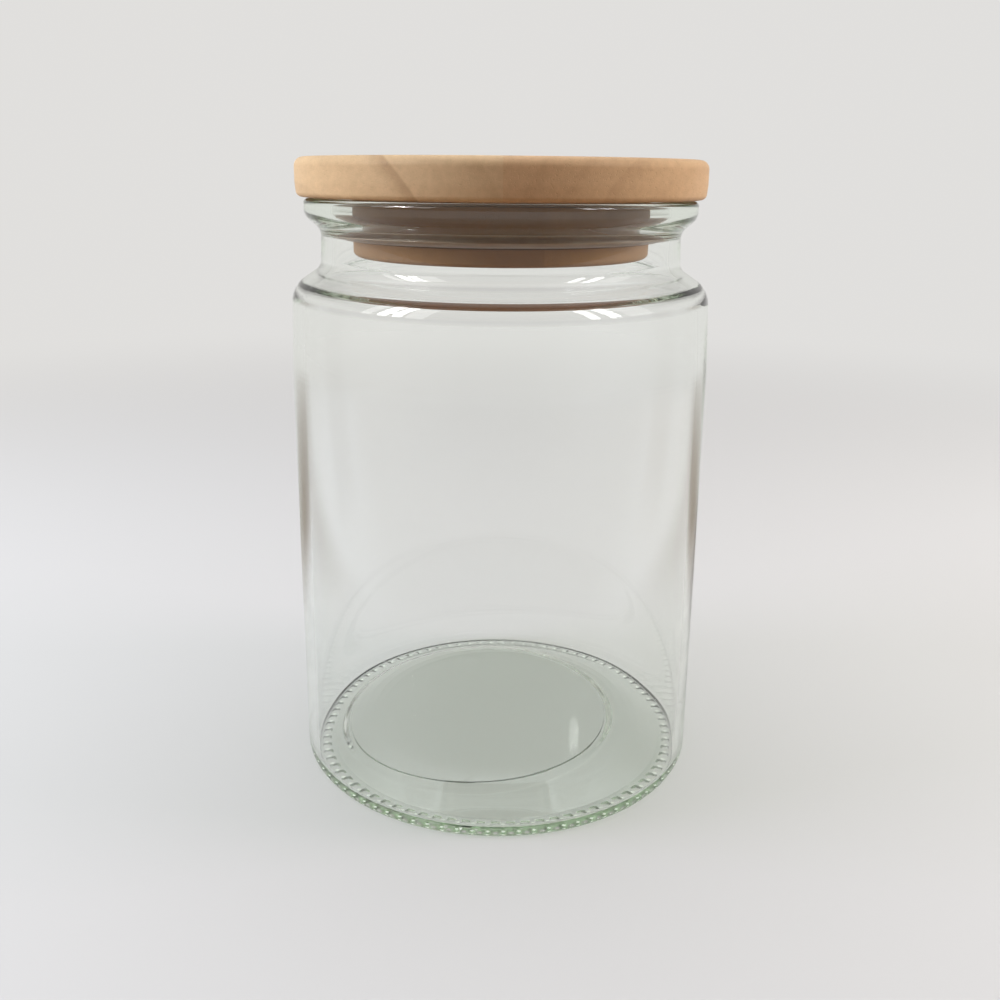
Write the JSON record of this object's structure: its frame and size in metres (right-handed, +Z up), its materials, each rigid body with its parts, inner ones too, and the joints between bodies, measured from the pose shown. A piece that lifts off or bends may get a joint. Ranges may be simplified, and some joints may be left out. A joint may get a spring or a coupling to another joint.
{
  "type": "cotton ball jar",
  "caption": "Round clear glass jar with a rolled rim and rounded shoulder, closed by a flat wooden push-in lid with a soft sealing ring.",
  "frame": {"origin": "centre of the jar's foot, on the surface that it stands on", "axes": "+Z up along the jar's axis, +Y away from the viewer of the picture, +X to the right"},
  "size_m": [0.102, 0.102, 0.15],
  "materials": {
    "clear_glass": "clear polished glass with a faint green tint",
    "lid_wood": "bare pale hardwood, fine grain, sanded smooth",
    "clear_silicone": "milky translucent silicone, satin"
  },
  "bodies": {
    "jar": {"jar": "clear_glass"},
    "seal": {"sealing_ring": "clear_silicone"},
    "lid": {"lid_disc": "lid_wood", "lid_plug": "lid_wood"}
  },
  "joints": [
    {"name": "lid_lift", "type": "slide", "parent": "jar", "child": "seal", "axis": [0, 0, 1], "range_m": [0, 0.08]},
    {"name": "lid_turn", "type": "hinge", "parent": "seal", "child": "lid", "pos_m": [0, 0, 0.1411], "axis": [0, 0, 1], "continuous": true}
  ]
}
